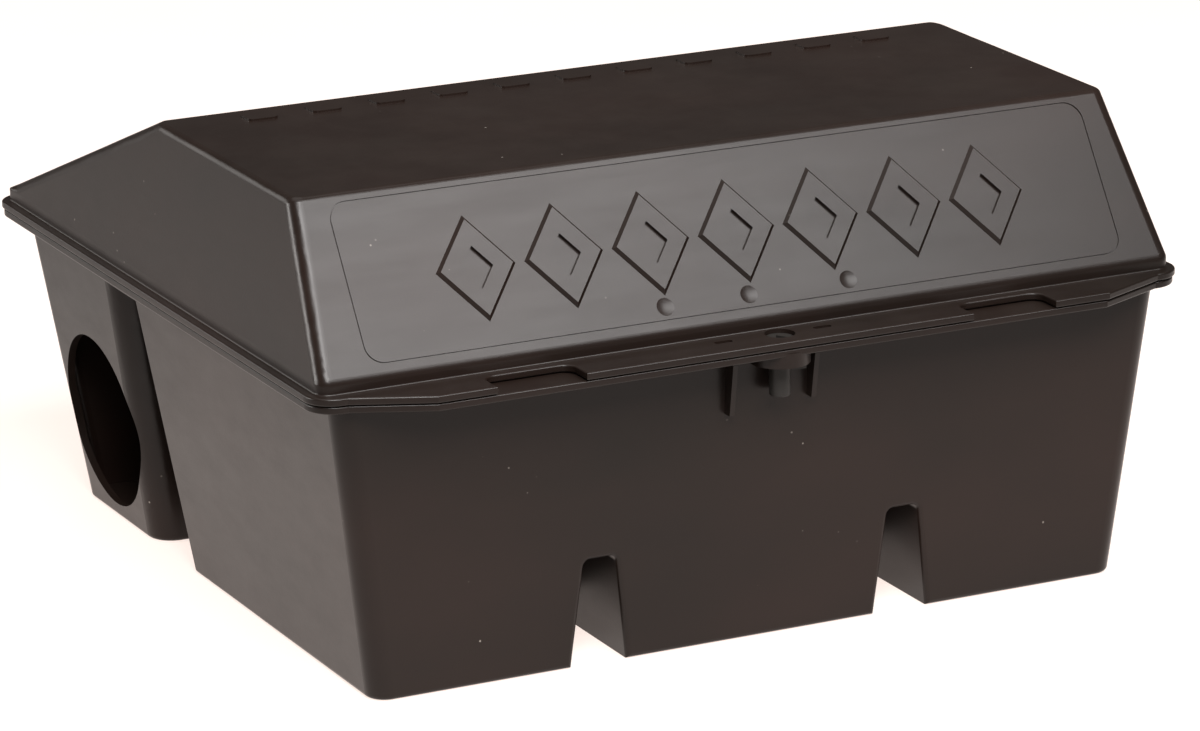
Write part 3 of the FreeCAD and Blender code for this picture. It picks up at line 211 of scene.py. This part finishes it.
class Shader:
    """A principled material and short calls that wire the nodes it needs."""

    def __init__(self, name):
        self.material = bpy.data.materials.new(name)
        self.material.use_nodes = True
        self.tree = self.material.node_tree
        self.surface = self.tree.nodes["Principled BSDF"]
        self.place = self.tree.nodes.new("ShaderNodeTexCoord").outputs["Object"]

    def set(self, **values):
        """Set the surface's own sockets; an underscore stands for a space."""
        for name, value in values.items():
            self.surface.inputs[name.replace("_", " ")].default_value = value

    def node(self, kind, **values):
        made = self.tree.nodes.new(kind)
        for name, value in values.items():
            setattr(made, name, value)
        return made

    def link(self, source, target):
        self.tree.links.new(source, target)

    def stretched(self, scale):
        """The object's coordinates scaled along each axis."""
        mapping = self.node("ShaderNodeMapping")
        mapping.inputs["Scale"].default_value = scale
        self.link(self.place, mapping.inputs["Vector"])
        return mapping.outputs["Vector"]

    def vector_maths(self, operation, other):
        """The object's coordinates combined with a fixed vector into one number."""
        made = self.node("ShaderNodeVectorMath", operation=operation)
        self.link(self.place, made.inputs[0])
        made.inputs[1].default_value = other
        return made.outputs["Value"]

    def noise(self, scale, detail=3, roughness=0.5, along=None):
        made = self.node("ShaderNodeTexNoise")
        made.inputs["Scale"].default_value = scale
        made.inputs["Detail"].default_value = detail
        made.inputs["Roughness"].default_value = roughness
        self.link(along or self.place, made.inputs["Vector"])
        return made.outputs["Fac"]

    def cells(self, scale):
        """Distance to the nearest of many scattered points."""
        made = self.node("ShaderNodeTexVoronoi", feature="F1")
        made.inputs["Scale"].default_value = scale
        self.link(self.place, made.inputs["Vector"])
        return made.outputs["Distance"]

    def ramp(self, source, stops):
        """Colour a number by two stops, each a place and its colour."""
        made = self.node("ShaderNodeValToRGB")
        for point, (place, colour) in zip(made.color_ramp.elements, stops):
            point.position = place
            point.color = colour
        self.link(source, made.inputs["Fac"])
        return made.outputs["Color"]

    def spread(self, source, start, stop, low, high):
        """Carry start to low and stop to high, and hold beyond them."""
        made = self.node("ShaderNodeMapRange")
        for name, value in (("From Min", start), ("From Max", stop), ("To Min", low), ("To Max", high)):
            made.inputs[name].default_value = value
        self.link(source, made.inputs["Value"])
        return made.outputs["Result"]

    def times(self, first, second):
        made = self.node("ShaderNodeMath", operation="MULTIPLY")
        self.link(first, made.inputs[0])
        self.link(second, made.inputs[1])
        return made.outputs["Value"]

    def mix(self, share, first, second):
        """Blend two colours by a share; a colour is a socket or a fixed value."""
        made = self.node("ShaderNodeMix", data_type="RGBA")
        for index, value in zip(MIX_INPUTS, (share, first, second)):
            if hasattr(value, "is_output"):
                self.link(value, made.inputs[index])
            else:
                made.inputs[index].default_value = value
        return made.outputs[MIX_RESULT]

    def colour(self, source):
        self.link(source, self.surface.inputs["Base Color"])

    def rough(self, source):
        self.link(source, self.surface.inputs["Roughness"])

    def bump(self, height, strength, distance):
        """Add a bump; later calls build on the earlier ones."""
        made = self.node("ShaderNodeBump")
        made.inputs["Strength"].default_value = strength
        made.inputs["Distance"].default_value = distance
        self.link(height, made.inputs["Height"])
        earlier = self.surface.inputs["Normal"].links
        if earlier:
            self.link(earlier[0].from_socket, made.inputs["Normal"])
        self.link(made.outputs["Normal"], self.surface.inputs["Normal"])


def moulded_plastic(name, dark=SHELL_DARK, pale=SHELL_PALE, rough=0.30, dust=0.05):
    """Satin plastic: fine grain, flow clouds, handling scuffs, and dust as a film and as motes."""
    shader = Shader(name)
    shader.set(IOR=1.31)
    flow = shader.noise(scale=7, detail=4, along=shader.stretched((1, 1, 2.2)))
    clouds = shader.ramp(flow, ((0.34, dark), (0.68, pale)))
    facing = shader.node("ShaderNodeSeparateXYZ")
    normal = shader.node("ShaderNodeNewGeometry").outputs["Normal"]
    shader.link(normal, facing.inputs["Vector"])
    upward = shader.spread(facing.outputs["Z"], start=0.35, stop=1, low=0, high=dust)
    smears = shader.noise(scale=38, detail=6, roughness=0.65)
    patches = shader.spread(smears, start=0.35, stop=0.75, low=0.15, high=1)
    film = shader.mix(shader.times(upward, patches), clouds, DUST_FILM)
    motes = shader.spread(shader.cells(scale=150), start=0.035, stop=0.06, low=0.55, high=0)
    strewn = shader.spread(shader.noise(scale=26), start=0.58, stop=0.64, low=0, high=1)
    shader.colour(shader.mix(shader.times(motes, strewn), film, DUST_MOTE))
    across = shader.stretched((0.35, 1, 2.4))
    scuffs = shader.noise(scale=60, detail=7, roughness=0.7, along=across)
    shader.rough(shader.spread(scuffs, start=0.3, stop=0.7, low=rough - 0.02, high=rough + 0.05))
    shader.bump(shader.noise(scale=1500, detail=2), strength=0.12, distance=0.0001)
    shader.bump(shader.noise(scale=14, detail=2), strength=0.06, distance=0.0006)
    return shader.material


def wax(name):
    """Pressed bait wax with grains of cereal showing."""
    shader = Shader(name)
    shader.set(Roughness=0.6, Subsurface_Weight=0.12, Subsurface_Scale=0.002,
               Subsurface_Radius=(0.6, 1.0, 0.8))
    body = shader.ramp(shader.noise(scale=90, detail=5), ((0.3, WAX_DARK), (0.7, WAX_PALE)))
    flecks = shader.cells(scale=210)
    chips = shader.ramp(flecks, ((0.10, CEREAL), (0.17, WAX_RIND)))
    showing = shader.spread(flecks, start=0.10, stop=0.2, low=1, high=0)
    shader.colour(shader.mix(showing, body, chips))
    shader.bump(shader.cells(scale=330), strength=0.5, distance=0.0005)
    shader.bump(shader.noise(scale=700, detail=4), strength=0.35, distance=0.0003)
    return shader.material


def drawn_steel(name, tint, rough):
    """Drawn wire: fine lines along its length and dull patches."""
    shader = Shader(name)
    shader.set(Metallic=1.0)
    dull = tuple(channel * DULLED for channel in tint[:3]) + (1,)
    tone = shader.noise(scale=220, detail=5)
    shader.colour(shader.ramp(tone, ((0.35, dull), (0.62, tint))))
    lines = shader.noise(scale=900, along=shader.stretched((0.02, 1, 1)))
    shader.rough(shader.spread(lines, start=0.3, stop=0.7, low=rough - 0.08, high=rough + 0.14))
    shader.bump(lines, strength=0.2, distance=0.00005)
    return shader.material


def rubber(name):
    """Matt moulded rubber."""
    shader = Shader(name)
    tone = shader.noise(scale=260, detail=4)
    shader.colour(shader.ramp(tone, ((0.35, RUBBER_DARK), (0.7, RUBBER_PALE))))
    shader.rough(shader.spread(shader.noise(scale=400), start=0.3, stop=0.7, low=0.6, high=0.8))
    shader.bump(shader.noise(scale=1300), strength=0.3, distance=0.0001)
    return shader.material


def dyed_cereal(name):
    """Dry dyed cereal, as chopped pellets are."""
    shader = Shader(name)
    shader.set(Roughness=0.72)
    tone = shader.noise(scale=240, detail=4)
    shader.colour(shader.ramp(tone, ((0.3, PELLET_DARK), (0.7, PELLET_PALE))))
    shader.bump(shader.noise(scale=900, detail=4), strength=0.5, distance=0.0003)
    return shader.material


def add_pellet(shape, dice, middle, along, half_long, radius):
    """One rough pellet: rings of points, each pushed in or out a little, with capped ends."""
    turn = along.to_track_quat("Z", "Y").to_matrix()
    rings = []
    for share, width in PELLET_RINGS:
        ring = []
        for step in range(PELLET_SIDES):
            angle = 2 * math.pi * step / PELLET_SIDES
            reach = width * radius * dice.uniform(*PELLET_DENTS)
            rise = share * half_long + radius * dice.uniform(*PELLET_SHIFTS)
            point = Vector((reach * math.cos(angle), reach * math.sin(angle), rise))
            ring.append(shape.verts.new(middle + turn @ point))
        rings.append(ring)
    for lower, upper in zip(rings, rings[1:]):
        for step in range(PELLET_SIDES):
            after = (step + 1) % PELLET_SIDES
            shape.faces.new((lower[step], lower[after], upper[after], upper[step]))
    shape.faces.new(list(reversed(rings[0])))
    shape.faces.new(rings[-1])


def settle(taken, beads, radius):
    """How far above the tray's floor a pellet comes to rest, or None where the heap is full."""
    gap = PELLET_CLOSEST * radius
    lift = 0.0
    while lift < PELLET_HEAP:
        raised = [bead + Vector((0, 0, lift)) for bead in beads]
        if all((bead - other).length > gap for bead in raised for other in taken):
            return lift
        lift += radius / PELLET_STEPS
    return None


def add_loose_bait(side, material):
    """Chopped pellets lying in a bait tray."""
    low, high = (Vector(corner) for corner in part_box(f"bait_tray_{side}"))
    dice = random.Random(f"bait {side}")
    shape = bmesh.new()
    taken = []
    for _ in range(PELLET_TRIES):
        radius = PELLET_RADIUS * dice.uniform(*PELLET_RADIUS_SHARES)
        half_long = dice.uniform(*PELLET_HALF_LENGTHS)
        heading = dice.uniform(0, math.pi)
        tilt = dice.uniform(*PELLET_TILTS)
        along = Vector((math.cos(heading), math.sin(heading), tilt)).normalized()
        inset = PELLET_INSET + half_long
        middle = Vector((dice.uniform(low.x + inset, high.x - inset),
                         dice.uniform(low.y + inset, high.y - inset),
                         low.z + PELLET_FLOOR + radius * PELLET_HOVER))
        beads = [middle + along * (share * (half_long - radius / 2)) for share in (-1, 0, 1)]
        lift = settle(taken, beads, radius)
        if lift is None:
            continue
        rise = Vector((0, 0, lift))
        taken.extend(bead + rise for bead in beads)
        add_pellet(shape, dice, middle + rise, along, half_long, radius)
    mesh = bpy.data.meshes.new(f"loose_bait_{side}")
    shape.to_mesh(mesh)
    shape.free()
    mesh.shade_smooth()
    mesh.materials.append(material)
    pile = bpy.data.objects.new(f"loose_bait_{side}", mesh)
    bpy.context.scene.collection.objects.link(pile)
    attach(pile, f"tray_{side}")


def dress_nodes():
    """Give each carried-over CAD node the finish of its material slot."""
    finishes = {
        "shell": moulded_plastic("shell_plastic"),
        "lock": moulded_plastic("lock_nylon", NYLON_DARK, NYLON_PALE, rough=0.42, dust=0.03),
        "liner": moulded_plastic("liner_plastic", LINER_DARK, LINER_PALE, rough=0.44),
        "steel": drawn_steel("plated_steel", ZINC, rough=0.30),
        "spring_steel": drawn_steel("spring_steel", OILED_STEEL, rough=0.34),
        "stop": rubber("stop_rubber"),
        "bait": wax("bait_wax"),
    }
    for part in frame["record"]["subparts"]:
        slots = frame["nodes"][part["node"]].data.materials
        slots.clear()
        slots.append(finishes[part["material_slot"]])


add_camera()
add_studio()
add_floor()
dress_nodes()
pellet_finish = dyed_cereal("pellet_grain")
for tray_side in ("left", "right"):
    add_loose_bait(tray_side, pellet_finish)
